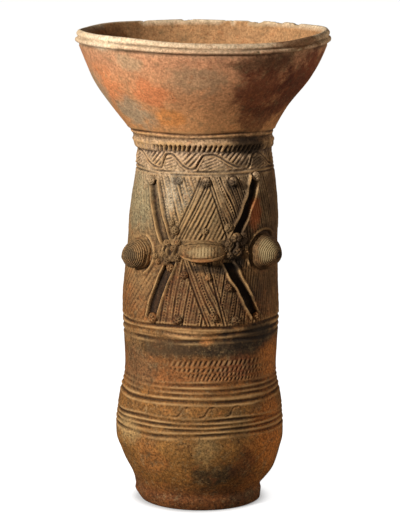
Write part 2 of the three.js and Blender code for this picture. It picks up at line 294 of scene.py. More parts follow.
def notched_cord():
    """Its height, and how deep in a notch each place is."""
    sway = 0.4 * wander(ANGLE, 0, 7) + CORD_LIFT * FRONT
    above = HEIGHT - CORD_LOW - sway
    roll = np.interp(above, CORD_AT, CORD_RISE, left=0, right=0)
    roll = roll * (1 + 0.12 * wander(ANGLE, HEIGHT, 9, turns=(12, 50), reach=14))
    pitch = 2 * math.pi * SPREAD_RADIUS / CORD_BEADS
    uneven = 0.6 * wander(ANGLE, 0, 8, turns=(9, 30))
    gap = stripes(ALONG - above * math.tan(math.radians(NOTCH_LEAN)) + uneven, pitch)
    width = np.interp(above, [0, 5.5, 8.0], [2.0, 1.0, 0.2])
    notch = np.exp(-((gap / width) ** 2)) * (1 - ramp(above, 5.6, 7.6))
    rubbed = band(ANGLE, -95, -48, 8) + 0.6 * band(ANGLE, 56, 90, 8)
    notch = notch * (1 - 0.75 * rubbed)
    return roll * (1 - 0.95 * notch), notch * ramp(roll, 0.2, 1.5)


# The frieze: a running wave, whose arches each rise steeply and come down slowly, hatched over
# and under. Angles are where each arch starts.
WAVE_STARTS = [-180, -136, -88, -40, -10.5, 37, 76, 112, 146, 180]
WAVE_SHAPE = smooth_line([
    (0, 0), (0.06, 0.12), (0.13, 0.55), (0.20, 0.9), (0.28, 1), (0.40, 0.99), (0.52, 0.78),
    (0.66, 0.42), (0.8, 0.16), (0.93, 0.03), (1, 0),
])
FRIEZE_LOW = panel_top + 2.6
FRIEZE_TALL = neck_z - panel_top - 1.2


def frieze():
    inside = band(HEIGHT, FRIEZE_LOW, FRIEZE_LOW + FRIEZE_TALL, 0.6)
    share = np.interp(ANGLE, WAVE_STARTS, range(len(WAVE_STARTS))) % 1
    wave = WAVE_SHAPE(share) * FRIEZE_TALL * 0.86
    slope = np.gradient(wave, axis=1) / (2 * math.pi * SPREAD_RADIUS / CANVAS_COLUMNS)
    away = (HEIGHT - FRIEZE_LOW - 0.6 - wave) / np.hypot(1, slope)
    steep = ramp(slope, 0.5, 1.2)
    falling = ramp(-slope, 0.2, 0.5)
    lines = cut(away, 1.9, 1.0 + 1.0 * steep, 0.6) + cut(away + 2.6, 1.4, 0.9) * falling
    fade = np.clip(0.75 + 0.35 * wander(ANGLE, HEIGHT, 21, turns=(6, 24), reach=40), 0.3, 1.1)
    above = cut(stripes(leaning(48), 4.0), 1.7, 1.1, 0.4) * ramp(away, 1.4, 2.2)
    under = cut(stripes(leaning(72), 2.7), 1.3, 0.8) * ramp(-away, 1.4 + 2 * falling, 2.2 + 2 * falling)
    return inside * (lines + fade * (above + under))


# The panel's borders, as angles at the top and bottom of its upper and lower halves, and how the
# field to the right of each is hatched: lean from upright, pitch of the lines, depth, dotted
UPPER_TOP = panel_top - 4
UPPER_LOW = panel_middle + 11
LOWER_TOP = panel_middle - 9
LOWER_LOW = panel_bottom + 2
UPPER_FIELDS = [
    (-180, -180, "back"),
    (-88, -88, (-20, 4.2, 0.3, False)),
    (-46, -29, (-20, 3.5, 1.1, True)),
    (-3.5, -23, None),
    (3.5, -18, (25, 3.8, 1.2, False)),
    (1.5, 18.5, (-24, 5.2, 1.2, True)),
    (42, 27, (-14, 3.3, 0.8, False)),
    (88, 88, "back"),
]
LOWER_FIELDS = [
    (-180, -180, "back"),
    (-88, -88, (36, 4.2, 0.4, False)),
    (-26, -38, (9, 5.4, 1.0, True)),
    (-14, 4.5, (-23, 4.9, 1.2, True)),
    (4.5, 17, (9, 5.0, 1.1, True)),
    (26, 44, (10, 3.1, 0.7, False)),
    (88, 88, "back"),
]
BACK_ZIGZAGS = 11


def hatched(lean, pitch, depth, dotted):
    """Lines in one direction, with a row of pricked dots between two lines where it is dotted."""
    jitter = 0.5 * wander(ANGLE, HEIGHT, int(90 + lean), turns=(4, 20), reach=60)
    shaky = 0.1 * wander(ANGLE, HEIGHT, int(290 + lean), turns=(25, 70), reach=14)
    place = leaning(lean) + jitter + shaky
    fade = np.clip(0.75 + 0.35 * wander(ANGLE, HEIGHT, int(190 + lean), (5, 26), 50), 0.3, 1.1)
    fade = fade * (0.85 + 0.3 * np.sin(np.round(place / pitch) * 2.4 + lean))
    height = fade * cut(stripes(place, pitch), 1.6, depth, 0.45)
    if dotted:
        row = np.floor(place / pitch)
        pricked = 0.35 + 0.65 * (row % 2)
        across = stripes(place + pitch / 2, pitch)
        along = stripes(lengthways(lean) + 1.3 * row + 0.8 * across, 2.7)
        dots = np.exp(-((across / 1.1) ** 2 + (along / 0.7) ** 2))
        height = height - 1.1 * depth * pricked * dots
    return height


def zigzag(z_low, z_high):
    """The plainer back: triangles that stand and hang in turn, hatched two ways."""
    share = (HEIGHT - z_low) / (z_high - z_low)
    tooth = np.abs((ANGLE * BACK_ZIGZAGS / 360) % 1 * 2 - 1)
    side = (tooth - share) * 2 * math.pi * SPREAD_RADIUS / BACK_ZIGZAGS / 2 * 0.9
    stands = hatched(-26, 4.4, 0.8, False) * ramp(side, 1.6, 2.4)
    hangs = hatched(25, 5.2, 0.7, True) * ramp(-side, 1.6, 2.4)
    return stands + hangs + cut(side, 1.8, 1.0) + cut(side - 2.4, 1.4, 0.6)


def panel_half(fields, z_high, z_low):
    share = np.clip((z_high - HEIGHT) / (z_high - z_low), -0.1, 1.1)
    inside = band(HEIGHT, z_low, z_high, 1.0)
    back = zigzag(z_low, z_high)
    total = 0
    for (top, low, style), right in zip(fields, [*fields[1:], (180, 180, None)]):
        left_side = ALONG - arc(1) * (top + (low - top) * share)
        right_side = arc(1) * (right[0] + (right[1] - right[0]) * share) - ALONG
        within = ramp(left_side, 0.8, 1.6) * ramp(right_side, 0.8, 1.6)
        if style == "back":
            total = total + within * back
        elif style:
            total = total + within * hatched(*style)
        if abs(top) < 60:
            total = total + cut(left_side, 1.9, 1.15) + cut(left_side - 2.6, 1.4, 0.7)
    return inside * total


# The crossed troughs: angles and heights of the outer and inner ends, and how much soot they hold
TROUGH_WIDTH = 11
TROUGH_RIDGE = 2.2
TROUGH_DEPTH = 2.8
TROUGHS = [
    ((-46, panel_top - 10), (-28.5, panel_middle + 7), 0.12),
    ((44, panel_top - 4), (25, panel_middle + 12), 1.0),
    ((-38, panel_bottom + 9), (-24, panel_middle - 12), 0.8),
    ((43, panel_bottom + 7), (20, panel_middle - 13), 0.95),
]
TROUGH_BOW = 1.0


def trough(outer, inner, soot_and_shade):
    """One trough as its mask, its height, and the soot in its channel."""
    (outer_angle, outer_z), (inner_angle, inner_z) = outer, inner
    share = (HEIGHT - outer_z) / (inner_z - outer_z)
    bow = TROUGH_BOW * np.sign(inner_angle - outer_angle) * -np.sin(np.pi * np.clip(share, 0, 1))
    middle = outer_angle + (inner_angle - outer_angle) * share + bow
    tilt = arc(inner_angle - outer_angle) / (inner_z - outer_z)
    across = np.radians(ANGLE - middle) * SPREAD_RADIUS / math.hypot(1, tilt)
    uneven = 1 + 0.12 * wander(ANGLE, HEIGHT, int(outer_angle) + 300, (8, 24), 25)
    side = np.abs(across) / uneven
    length = band(share, 0, 1, 0.05)
    lumpy = 1 + 0.18 * wander(ANGLE, HEIGHT, int(outer_angle) + 330, (20, 60), 16)
    ridge = lumpy * TROUGH_RIDGE * np.exp(-(((side - TROUGH_WIDTH / 2) / 1.1) ** 2))
    channel = 1 - ramp(side, TROUGH_WIDTH / 2 - 2.0, TROUGH_WIDTH / 2 - 0.6)
    cover = (1 - ramp(side, TROUGH_WIDTH / 2 + 0.5, TROUGH_WIDTH / 2 + 2.5)) * length
    return cover, (ridge - TROUGH_DEPTH * channel) * length, soot_and_shade * channel * length


# Rows of slanted nicks: height, how tall and how far apart they are, angles between which they
# show best
NICK_ROWS = [
    (144.2, 5.2, 4.8, (-12, 40)),
    (138.6, 3.4, 4.5, (-8, 45)),
    (133.6, 2.8, 4.0, (0, 45)),
    (128.8, 3.4, 3.7, (6, 36)),
]
NICK_LEAN = 24


def nick_rows():
    total = 0
    for i, (z, height, pitch, (start, end)) in enumerate(NICK_ROWS):
        sway = 0.7 * wander(ANGLE, 0, 60 + i, turns=(1, 4), waves=4)
        place = HEIGHT - z - sway
        line = ALONG - place * math.tan(math.radians(NICK_LEAN)) + pitch * 0.37 * i
        jitter = 0.4 * wander(ANGLE, 0, 65 + i, turns=(12, 40))
        shown = 0.12 + 0.88 * band(ANGLE, start, end, 22)
        tall = np.exp(-((place / (height / 2)) ** 6))
        total = total + shown * tall * cut(stripes(line + jitter, pitch), pitch * 0.4, 0.8, 0.5)
    return total


# Curled strokes in the band between the lower grooves
CURL_Z = panel_bottom - 79.6
CURL_PITCH = 18.0
CURL_FIRST = 4.5
CURL_TALL = 9.0


def curls():
    share = ((ANGLE - CURL_FIRST) / CURL_PITCH + 0.5) % 1 - 0.5
    along = share * arc(CURL_PITCH)
    number = np.round((ANGLE - CURL_FIRST) / CURL_PITCH)
    depth = 0.3 + 0.35 * np.cos(number * 2.4) ** 2
    depth = depth * (0.3 + 0.7 * ramp(ANGLE, -30, -14))
    half = CURL_TALL / 2
    bend = half * np.tanh(along / 2.2)
    slope = half / 2.2 / np.cosh(along / 2.2) ** 2
    away = (HEIGHT - CURL_Z - bend) / np.hypot(1, slope)
    stroke = cut(away, 1.5, 1.0) * band(along, -5.5, 5.5, 1.0)
    hook = np.hypot(along - 6.5, HEIGHT - CURL_Z - half + 3) - 3
    hooked = cut(hook, 1.3, 0.6) * band(along, 4, 9.5, 0.8) * ramp(HEIGHT, CURL_Z, CURL_Z + 1)
    return depth * (stroke + hooked) * band(HEIGHT, CURL_Z - 6.5, CURL_Z + 6.5, 0.8)


# The coiled bosses at the sides: angle, height and radius, with a brow over the right one and
# round the front of the left one
BOSSES = [(-55, panel_middle - 6, 13.6), (53, panel_middle - 4.5, 15.4)]
BOSS_STANDS = 18.5
BROW_GAP = 6
BROW_STANDS = 2.2


def brows():
    total = 0
    for angle, z, radius in BOSSES:
        sideways = arc(1) * (ANGLE - angle)
        upward = HEIGHT - z
        away = np.hypot(sideways, upward) - radius - BROW_GAP
        toward_front = -np.sign(angle) * sideways
        over_it = upward + 0.75 * toward_front if angle > 0 else 2 * toward_front - 14
        shown = ramp(over_it, -2, 5)
        total = total + BROW_STANDS * np.exp(-((away / 1.2) ** 2)) * shown
        total = total - 1.3 * np.exp(-(((away + 2.8) / 1.6) ** 2)) * shown
    return total


# The lumps of clay where the troughs meet the eye
KNOTS = [(-25, panel_middle - 3, 10), (26, panel_middle + 4, 9)]
KNOT_STANDS = 2.0
KNOT_ROUGHNESS = 1.5


def knots():
    total = 0
    for i, (angle, z, reach) in enumerate(KNOTS):
        away = np.hypot(arc(1) * (ANGLE - angle), HEIGHT - z) / reach
        lumps = wander(ANGLE, HEIGHT, 500 + i, turns=(40, 110), reach=7, waves=10)
        total = total + np.exp(-(away**4)) * (KNOT_STANDS + KNOT_ROUGHNESS * lumps)
    return total


def hand_built():
    """The slow unevenness of a wall built up and smoothed by hand."""
    slow = 0.3 * wander(ANGLE, HEIGHT, 1, turns=(2, 5), reach=220)
    quicker = 0.22 * wander(ANGLE, HEIGHT, 2, turns=(5, 12), reach=60)
    dents = 0.13 * wander(ANGLE, HEIGHT, 3, turns=(14, 40), reach=22, waves=9)
    return slow + quicker + dents


def carved_canvas():
    """Height, and the soot and painted shade, all over the outside."""
    carving = turned_grooves() + frieze() + nick_rows() + curls()
    carving = carving + panel_half(UPPER_FIELDS, UPPER_TOP, UPPER_LOW)
    carving = carving + panel_half(LOWER_FIELDS, LOWER_TOP, LOWER_LOW)
    soot_and_shade = np.zeros_like(ANGLE)
    for outer, inner, black in TROUGHS:
        cover, height, channel = trough(outer, inner, black)
        carving = carving * (1 - cover) + height
        soot_and_shade = np.maximum(soot_and_shade, channel)
    for angle, z, radius in BOSSES:
        away = np.hypot(arc(1) * (ANGLE - angle), HEIGHT - z) - radius - BROW_GAP
        carving = carving * ramp(away, -1, 1)
    # A dark rim round each pellet, where it meets the wall, is painted shade carried with the soot.
    for angle, z, size in PELLETS:
        away = np.hypot(arc(1) * (ANGLE - angle), HEIGHT - z) / size
        soot_and_shade = np.maximum(soot_and_shade, 0.7 * (1 - ramp(away, 0.9, 1.6)))
    carving = carving + brows() + knots()
    cord, notches = notched_cord()
    carving = carving * (1 - ramp(cord, 0.1, 0.8)) + cord
    # Places deep in the cord's notches are darkened with the soot: painted shade in the gaps between the
    # beads.
    return carving, np.maximum(soot_and_shade, 0.75 * notches)


def blurred(canvas, spread):
    """The canvas smoothed over so many millimetres."""
    rows, columns = canvas.shape
    up = np.fft.fftfreq(rows)[:, None] / CANVAS_STEP
    sideways = np.fft.rfftfreq(columns)[None, :] / (2 * math.pi * SPREAD_RADIUS / columns)
    keep = np.exp(-2 * (math.pi * spread) ** 2 * (up**2 + sideways**2))
    return np.fft.irfft2(np.fft.rfft2(canvas) * keep, canvas.shape)


def read_canvas(canvas, angles, heights):
    """The canvas's value at each angle and height."""
    row = np.clip(heights / CANVAS_STEP, 0, len(canvas) - 1.001)
    column = (angles + 180) / 360 * CANVAS_COLUMNS
    low, left = np.floor(row).astype(int), np.floor(column).astype(int)
    up, across = row - low, column - left
    left, right = left % CANVAS_COLUMNS, (left + 1) % CANVAS_COLUMNS
    lower = canvas[low, left] * (1 - across) + canvas[low, right] * across
    upper = canvas[low + 1, left] * (1 - across) + canvas[low + 1, right] * across
    return lower * (1 - up) + upper * up


# Helpers for the meshes
def deselect_all():
    if bpy.context.mode != "OBJECT":
        bpy.ops.object.mode_set(mode="OBJECT")
    bpy.ops.object.select_all(action="DESELECT")


def take(piece):
    """Makes a piece the only one selected, and the one that operators act on."""
    deselect_all()
    piece.select_set(True)
    bpy.context.view_layer.objects.active = piece


def named(piece, name):
    piece.name = name
    piece.data.name = name
    return piece


def points_of(piece):
    """A piece's points, in millimetres."""
    points = np.empty(len(piece.data.vertices) * 3, np.float32)
    piece.data.vertices.foreach_get("co", points)
    return points.reshape(-1, 3).astype(float) / MM


def unit_points(piece):
    """The points of a ball of radius 1, before it is sized."""
    return np.array([vertex.co for vertex in piece.data.vertices], float)


def set_points(piece, points):
    piece.data.vertices.foreach_set("co", (points * MM).astype(np.float32).ravel())
    piece.data.update()


def paint(piece, name, values):
    """Keeps a value for each point of a piece, for its material to read."""
    old = piece.data.attributes.get(name)
    if old:
        piece.data.attributes.remove(old)
    attribute = piece.data.attributes.new(name, "FLOAT", "POINT")
    attribute.data.foreach_set("value", np.asarray(values, np.float32))


def finish_with(piece, kind, **settings):
    """Adds a modifier and applies it."""
    take(piece)
    modifier = piece.modifiers.new(kind.lower(), kind)
    for name, value in settings.items():
        setattr(modifier, name, value)
    bpy.ops.object.modifier_apply(modifier=modifier.name)


def drawn_line(name, points):
    """A line of joined points (radius, height), in mm, drawn one after the other above the X axis."""
    deselect_all()
    bpy.ops.mesh.primitive_plane_add(size=MM, location=(0, 0, 0))
    line = named(bpy.context.object, name)
    bpy.ops.object.mode_set(mode="EDIT")
    bpy.ops.mesh.merge(type="CENTER")
    here = Vector((points[0][0] * MM, 0, points[0][1] * MM))
    bpy.ops.transform.translate(value=here)
    for radius, z in points[1:]:
        there = Vector((radius * MM, 0, z * MM))
        bpy.ops.mesh.extrude_region_move(TRANSFORM_OT_translate={"value": there - here})
        here = there
    bpy.ops.object.mode_set(mode="OBJECT")
    return line


def close_up(piece):
    """Joins the points of a piece that coincide, and faces its surface outwards."""
    take(piece)
    bpy.ops.object.mode_set(mode="EDIT")
    bpy.ops.mesh.select_all(action="SELECT")
    bpy.ops.mesh.remove_doubles(threshold=1e-6)
    bpy.ops.mesh.normals_make_consistent(inside=False)
    bpy.ops.object.mode_set(mode="OBJECT")
    return piece


def turned_from(line, steps):
    """A line turned all the way round the upright axis, closed and facing outwards."""
    finish_with(line, "SCREW", angle=2 * math.pi, steps=steps, render_steps=steps, axis="Z")
    return close_up(line)


# The lip's own section, from the undercut over the top to the inside: distance in from the
# widest part, and distance down from the top
LIP_SECTION = [
    (4.0, 12.6), (1.9, 11.6), (0.4, 10.4), (0, 9.0), (0.6, 7.8), (2.2, 6.9), (2.9, 6.2),
    (2.2, 5.4), (1.4, 4.3), (1.4, 3.1), (2.3, 1.7), (3.3, 0.6), (4.4, 0.1), (5.6, 0.3), (6.6, 1.4),
]

# Dark lines in the lip's groove and under it, dirt and painted shade like the hollows: distance down
# from the top, and width
LIP_LINES = [(6.2, 0.8), (12.4, 1.0)]

# The mouth wavers all the way round, and sags a little at the front, to the right of the middle
LIP_WAVER = 0.7
LIP_SAG = 5.2
SAG_ANGLE = 16
SAG_REACH = 38
SAG_BELOW = 26

# What the dirt and painted shade in hollows and the wear and painted highlight on ridges go by: the
# width that the carving is smoothed over, and how far below or above that smooth surface counts in full
HOLLOW_AND_RIDGE_SPREAD = 2.2
FULL_HOLLOW = 0.7
FULL_RIDGE = 0.6


def wall_section():
    """The whole section: under the foot, up the outside, over the lip and down the inside."""
    carved_low, carved_high = belly_z + 8, bowl_z + 3
    lip_low = TOP - LIP_SECTION[0][1]
    outside = np.concatenate([
        np.arange(0.8, carved_low, PLAIN_STEP),
        np.arange(carved_low, carved_high, CARVED_STEP),
        np.arange(carved_high, lip_low - 1, PLAIN_STEP),
    ])
    inside = np.arange(TOP - 6, FLOOR + WALL, -INSIDE_STEP)
    points = [(0, FOOT_HOLLOW_DEPTH)]
    points += [(radius, FOOT_HOLLOW_DEPTH) for radius in (12, 24, 34)]
    points += [(FOOT_HOLLOW_RADIUS - 3, FOOT_HOLLOW_DEPTH - 0.6), (FOOT_HOLLOW_RADIUS, 0)]
    points += [(SEAT_RADIUS - 1.2, 0)]
    points += [(float(outer_radius(z)), float(z)) for z in outside]
    points += [(LIP_RADIUS - inward, TOP - down) for inward, down in LIP_SECTION]
    points += [(float(inner_radius(z)), float(z)) for z in inside]
    floor_edge = float(inner_radius(FLOOR + WALL))
    points += [(floor_edge - 2, FLOOR + 3.4), (floor_edge - 7, FLOOR + 1), (floor_edge - 14, FLOOR)]
    points += [(radius, FLOOR) for radius in (26, 13, 0)]
    return points


# Chips out of the lip: angle, distance in from the widest part, distance below the top, and size
CHIPS = [
    (-80, 0.5, -0.5, (8, 3.4, 3.0)),
    (-70, 0.2, 0.5, (7, 3.0, 3.4)),
    (-62, 0.8, -1.0, (5, 3.0, 2.6)),
    (-44, 0.6, 9.0, (3.5, 2.0, 1.6)),
    (-36, 0.5, -0.8, (7, 3.2, 2.8)),
    (-27, 1.2, -1.2, (5, 3.0, 2.2)),
    (24, 0.0, 10.5, (4, 1.8, 1.8)),
    (47, 0.3, 11.0, (4, 1.8, 1.8)),
    (128, 4.5, -1.0, (9, 5, 3.4)),
    (140, 5.0, -1.0, (10, 5, 2.8)),
    (153, 5.0, -1.2, (9, 6, 3.8)),
    (167, 5.0, -1.4, (7, 4, 2.6)),
    (-172, 5.0, -1.4, (6, 4, 2.4)),
    (-150, 4.0, -1.0, (4, 4, 2.2)),
]


def chip_out(points):
    """Pushes the lip's points down and in, out of each chip. Gives the points and what is broken."""
    broken = np.zeros(len(points))
    for i, (angle, inward, down, (wide, deep, tall)) in enumerate(CHIPS):
        turn = math.radians(angle)
        radius = LIP_RADIUS - inward
        centre = np.array([radius * math.sin(turn), -radius * math.cos(turn), TOP - down])
        sideways = np.array([math.cos(turn), math.sin(turn), 0])
        outward = np.array([math.sin(turn), -math.cos(turn), 0])
        local = (points - centre) @ np.array([sideways / wide, outward / deep, [0, 0, 1 / tall]]).T
        rough = 1 + 0.16 * np.sin(local[:, 0] * 5 + i) + 0.1 * np.sin(local[:, 0] * 13 + local[:, 1] * 7)
        local = local / rough[:, None]
        push = np.array([0, -0.6, -1.0]) if down < 3 else np.array([0, -1.0, -0.2])
        push = push / np.linalg.norm(push)
        near = local @ push
        inside = 1 - (local**2).sum(1)
        reach = np.where(inside > 0, -near + np.sqrt(np.maximum(near**2 + inside, 0)), 0)
        in_mm = push * np.array([wide, deep, tall])
        step = in_mm[1] * outward + np.array([0, 0, in_mm[2]])
        points = points + reach[:, None] * step
        broken = np.maximum(broken, np.clip(inside * 3, 0, 1))
    return points, broken


def place_on_wall(points):
    """Angle from the front, radius and height of points, before the drift."""
    x = points[:, 0]
    angles = np.degrees(np.arctan2(x, -points[:, 1]))
    return angles, np.hypot(x, points[:, 1]), points[:, 2]


def carved_wall():
    """The vase's wall, turned from its section, carved, chipped and thinned."""
    wall = turned_from(drawn_line("carved_wall", wall_section()), TURNS)
    carving, soot_and_shade = carved_canvas()
    unevenness = hand_built()
    points = points_of(wall)
    angles, radii, heights = place_on_wall(points)
    outside = (radii > outer_radius(heights) - WALL * 0.5) & (heights > 0.5)
    lift = read_canvas(unevenness, angles, heights) * ramp(heights, 0, 12)
    lift = lift + np.where(outside & (heights < lip_z - 1), read_canvas(carving, angles, heights), 0)
    scale = 1 + lift / np.maximum(radii, 1) * (radii > FOOT_HOLLOW_RADIUS)
    points[:, :2] *= scale[:, None]
    points[:, 2] += LIP_WAVER * wander(angles, 0, 5, turns=(2, 9)) * ramp(heights, bowl_z, TOP)
    points, broken = chip_out(points)
    points[:, 0] += drift(heights)
    set_points(wall, points)
    paint(wall, "broken", broken)
    triangles = len(wall.data.polygons) * 2
    finish_with(wall, "DECIMATE", ratio=WALL_TRIANGLES / triangles)

    points = points_of(wall)
    points[:, 0] -= drift(points[:, 2])
    angles, radii, heights = place_on_wall(points)
    outside = radii > outer_radius(heights) - WALL * 0.6
    on_skin = outside & (heights < lip_z)

    def from_canvas(canvas):
        return np.where(on_skin, read_canvas(canvas, angles, heights), 0)

    # The carving's hollows are darkened for dirt and painted shade, by how far they sink below its smoothed
    # form.
    sunk = blurred(carving, HOLLOW_AND_RIDGE_SPREAD) - carving
    hollow = from_canvas(np.clip(sunk / FULL_HOLLOW, 0, 1))
    for down, width in LIP_LINES:
        line = np.exp(-(((TOP - down - heights) / width) ** 2)) * outside
        hollow = np.maximum(hollow, line * np.clip(0.6 + 0.4 * wander(angles, 0, 31, (3, 14)), 0.1, 0.9))
    paint(wall, "hollow", hollow)
    # Ridges of the carving are lightened for wear and painted highlight.
    paint(wall, "ridge", from_canvas(np.clip(-sunk / FULL_RIDGE, 0, 1)))
    paint(wall, "soot_and_shade", from_canvas(soot_and_shade))
    paint(wall, "inside", np.where(outside, 0, 1))
    sag = LIP_SAG * np.exp(-(((angles - SAG_ANGLE) / SAG_REACH) ** 2)) * ramp(heights, TOP - SAG_BELOW, TOP)
    points[:, 0] += drift(heights)
    points[:, 2] -= sag
    set_points(wall, points)
    return wall


def wrap_on_shaft(piece, angle, z):
    """Wraps a piece modelled flat, in mm, with X along the shaft, Y up and Z out of the wall."""
    points = points_of(piece)
    sideways = np.degrees(points[:, 0] / outer_radius(z))
    set_points(piece, on_shaft(angle + sideways, z + points[:, 1], points[:, 2]))


def mark_hollows_and_ridges(piece, reach):
    """Paints a piece's own hollows and ridges, for dirt and painted shade and for wear and painted
    highlight: where points lie above or below their neighbours.
    """
    points = points_of(piece)
    normals = np.empty(len(points) * 3, np.float32)
    piece.data.vertices.foreach_get("normal", normals)
    normals = normals.reshape(-1, 3)
    edges = np.empty(len(piece.data.edges) * 2, np.int32)
    piece.data.edges.foreach_get("vertices", edges)
    one, other = edges.reshape(-1, 2).T
    both, far = np.concatenate([one, other]), np.concatenate([other, one])
    away = points[far] - points[both]
    rise = (away * normals[both]).sum(1) / np.maximum(np.linalg.norm(away, axis=1), 1e-6)
    count = np.maximum(np.bincount(both, minlength=len(points)), 1)
    bend = np.bincount(both, rise, len(points)) / count
    bend = 0.5 * bend + 0.5 * np.bincount(both, bend[far], len(points)) / count
    paint(piece, "hollow", np.clip(bend / reach, 0, 1))
    paint(piece, "ridge", np.clip(-bend / reach - 0.4, 0, 1))


# The pellets: angle, height and size, in the upper panel, the knots and the lower panel
PELLETS = [
    (-49, 313, 4.0), (-21, 315, 3.4), (1, 314, 4.2), (23, 314, 4.6), (46, 317, 4.4),
    (-25, 276, 3.2), (-22, 269, 4.2), (1, 269, 3.4), (19, 272, 4.0),
    (-28, 257, 3.6), (-23, 252, 3.2), (-31, 246, 3.8), (-27, 240, 3.6), (-19, 244, 4.0),
    (-24, 234, 4.4), (-38, 244, 3.0), (-19, 258, 3.4), (-14, 255, 3.0), (-35, 239, 3.2),
    (25, 262, 5.4), (20, 257, 3.8), (30, 257, 3.8), (27, 249, 5.0), (21, 246, 3.8), (35, 247, 3.2),
    (32, 264, 3.2), (17, 251, 3.0), (34, 252, 3.4),
    (-13, 228, 3.8), (5, 226, 3.4), (20, 216, 4.0),
    (-37, 186, 5.0), (-17, 186, 4.2), (9, 189, 4.0), (26, 185, 4.2), (44, 187, 4.0),
]
PELLET_PETALS = 6


def pellet_model():
    """One pellet of size 1: a flattened ball, pricked in the middle and between its petals."""
    deselect_all()
    bpy.ops.mesh.primitive_uv_sphere_add(segments=24, ring_count=14, radius=1)
    pellet = bpy.context.object
    ball = unit_points(pellet)
    around = np.arctan2(ball[:, 1], ball[:, 0])
    off_axis = np.hypot(ball[:, 0], ball[:, 1])
    front = ramp(ball[:, 2], 0.0, 0.4)
    petals = np.cos(around * PELLET_PETALS)
    between = np.exp(-(((off_axis - 0.68) / 0.22) ** 2)) * ((1 - petals) / 2) ** 2
    middle = np.exp(-((off_axis / 0.26) ** 2))
    ring = np.exp(-(((off_axis - 0.4) / 0.14) ** 2))
    ball *= (1 - front * (0.34 * between + 0.45 * middle - 0.08 * ring))[:, None]
    ball[:, 2] *= 0.85
    pellet.data.vertices.foreach_set("co", ball.astype(np.float32).ravel())
    pellet.data.update()
    return pellet


def pellets():
    model = pellet_model()
    unit_ball = unit_points(model)
    dice = np.random.default_rng(11)
    copies = []
    for angle, z, size in PELLETS:
        take(model)
        bpy.ops.object.duplicate()
        copy = bpy.context.object
        turn = dice.uniform(0, 2 * math.pi)
        squash = 1 + dice.uniform(-0.12, 0.12, 3)
        spun = unit_ball * squash
        along = spun[:, 0] * math.cos(turn) - spun[:, 1] * math.sin(turn)
        upward = spun[:, 0] * math.sin(turn) + spun[:, 1] * math.cos(turn)
        set_points(copy, np.stack([along, upward, spun[:, 2]], 1) * size)
        wrap_on_shaft(copy, angle, z)
        copies.append(copy)
    bpy.data.objects.remove(model)
    deselect_all()
    for copy in copies:
        copy.select_set(True)
    bpy.context.view_layer.objects.active = copies[0]
    bpy.ops.object.join()
    joined = named(bpy.context.object, "pellets")
    mark_hollows_and_ridges(joined, 0.35)
    return joined


# The coiled bosses. They sag by a share of how far they stand out.
COIL_PITCH = 1.75
COIL_STANDS = 0.38
NIPPLE_RADIUS = 2.6
RIM_STANDS = 3.2
BOSS_SAG = 0.10
BOSS_STEPS = 96
BOSS_TURNS = 72


def coiled_boss(name, angle, z, rim):
    """A boss like a limpet: fine coils that narrow to a nipple, above a smooth rim."""
    section = [(0, -WALL / 2), (rim + 0.5, -WALL / 2), (rim + 1.4, 0.5), (rim + 1.2, 2.2)]
    section.append((rim, RIM_STANDS))
    for i in range(1, BOSS_STEPS):
        share = i / BOSS_STEPS
        radius = rim * math.cos(share * math.pi / 2) ** 0.85
        rise = RIM_STANDS + (BOSS_STANDS - RIM_STANDS) * (1 - (1 - share) ** 1.25) ** 1.05
        if radius < NIPPLE_RADIUS:
            break
        coil = COIL_STANDS * math.cos(2 * math.pi * (rim - radius + rise * 0.5) / COIL_PITCH)
        section.append((radius + coil * 0.7, rise + coil * 0.5))
    section += [(NIPPLE_RADIUS, BOSS_STANDS - 1.0), (NIPPLE_RADIUS * 0.8, BOSS_STANDS + 0.4)]
    section += [(NIPPLE_RADIUS * 0.35, BOSS_STANDS + 0.7), (0, BOSS_STANDS + 0.3)]
    boss = turned_from(drawn_line(name, section), BOSS_TURNS)
    points = points_of(boss)
    around = np.degrees(np.arctan2(points[:, 1], points[:, 0]))
    uneven = 1 + 0.03 * wander(around, points[:, 2], int(angle) + 400, (2, 7), 30)
    points[:, :2] *= uneven[:, None]
    points[:, 1] -= BOSS_SAG * points[:, 2]
    set_points(boss, points)
    wrap_on_shaft(boss, angle, z)
    mark_hollows_and_ridges(boss, 0.22)
    return boss


# The eye in the middle of the cross. Its section runs from under the heavy lid up over the thin
# one: distance up from the eye's middle, and how far it stands out of the wall.
EYE_ANGLE = -0.5
EYE_Z = panel_middle + 0.5
EYE_HALF_LENGTH = 24
EYE_SECTION_AT = [-12, -11, -10.2, -8.8, -7.0, -6.0, -5.2, -1.0, 4.0, 6.4, 7.2, 8.2, 9.4, 12]
EYE_SECTION = [-3.0, 1.0, 8.0, 11.6, 11.4, 8.6, 9.8, 9.6, 8.0, 6.0, 4.8, 6.4, 3.6, -3.0]
TICK_PITCH = 2.75
TICK_DEPTH = 0.6


